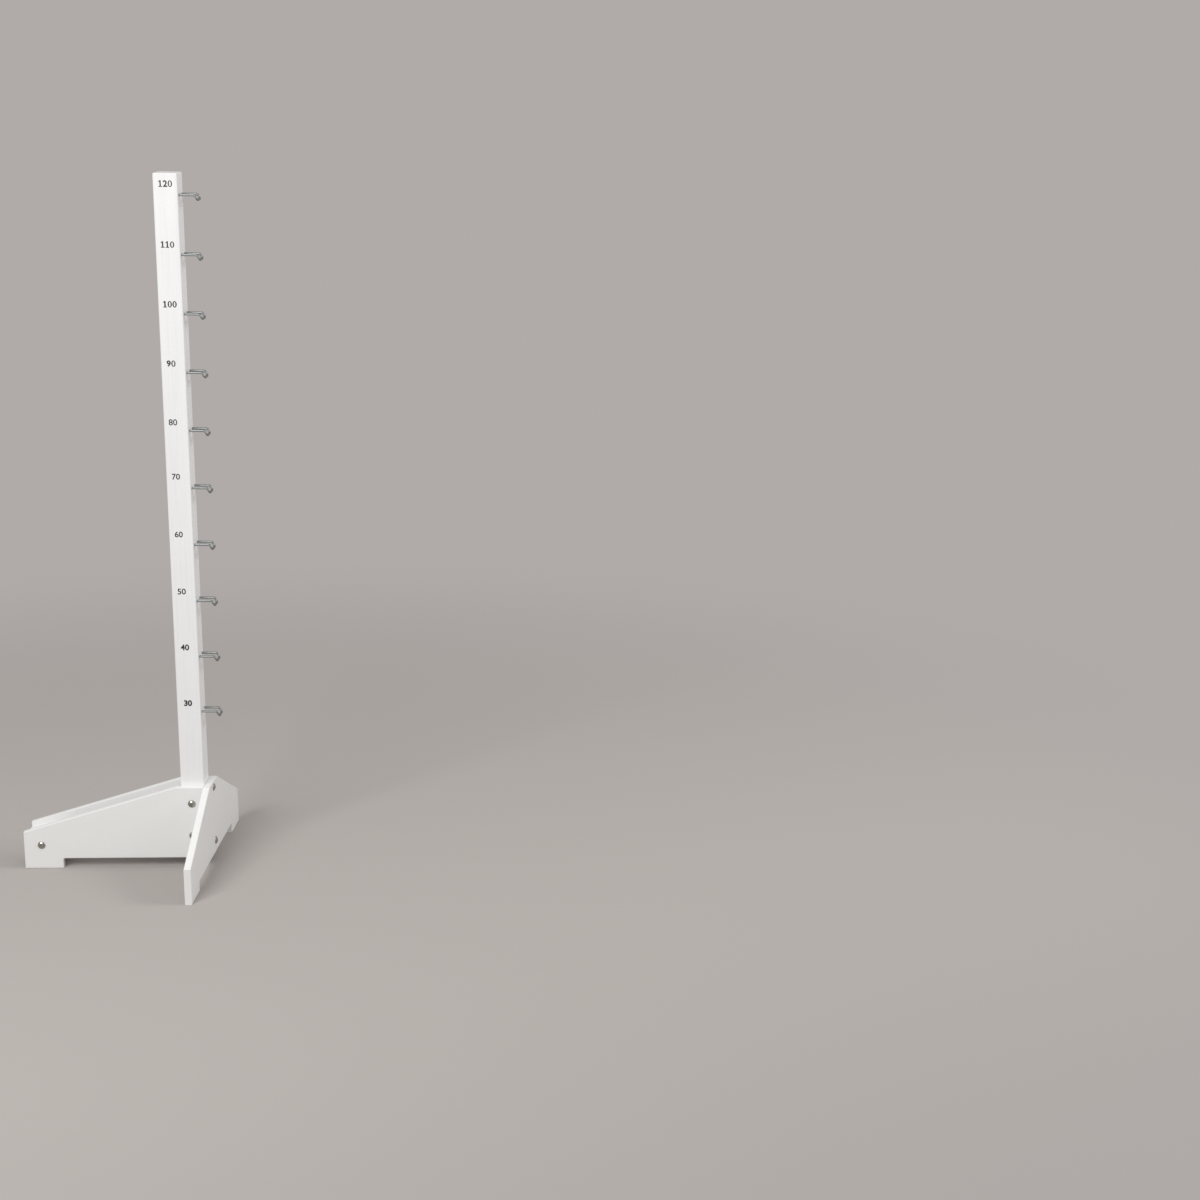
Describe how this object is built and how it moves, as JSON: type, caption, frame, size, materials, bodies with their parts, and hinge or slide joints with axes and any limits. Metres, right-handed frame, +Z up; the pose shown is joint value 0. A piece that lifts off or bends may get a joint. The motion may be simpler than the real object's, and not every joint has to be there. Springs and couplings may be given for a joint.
{
  "type": "show jump wing",
  "caption": "Free-standing show jump wing of hobby horse size: a slim white post with height marks and wire pole hooks, bolted into a low three-board foot.",
  "frame": {"origin": "on the ground, straight below the centre line of the post", "axes": "+Z up, +X from the post towards the pole that the hooks hold, +Y to the rear"},
  "size_m": [0.344, 0.452, 1.218],
  "materials": {
    "painted_timber": "white satin paint over planed softwood",
    "painted_board": "white satin paint over board",
    "zinc_wire": "bright zinc plate",
    "zinc_fastener": "bright zinc plate"
  },
  "bodies": {
    "root": {"post": "painted_timber", "front_foot_board": "painted_board", "rear_foot_board": "painted_board", "cross_board": "painted_board", "end_spacer": "painted_timber", "pole_hook_030": "zinc_wire", "pole_hook_040": "zinc_wire", "pole_hook_050": "zinc_wire", "pole_hook_060": "zinc_wire", "pole_hook_070": "zinc_wire", "pole_hook_080": "zinc_wire", "pole_hook_090": "zinc_wire", "pole_hook_100": "zinc_wire", "pole_hook_110": "zinc_wire", "pole_hook_120": "zinc_wire", "foot_board_bolts": "zinc_fastener", "cross_board_bolts": "zinc_fastener", "foot_board_nuts": "zinc_fastener", "cross_board_nuts": "zinc_fastener"}
  },
  "joints": []
}
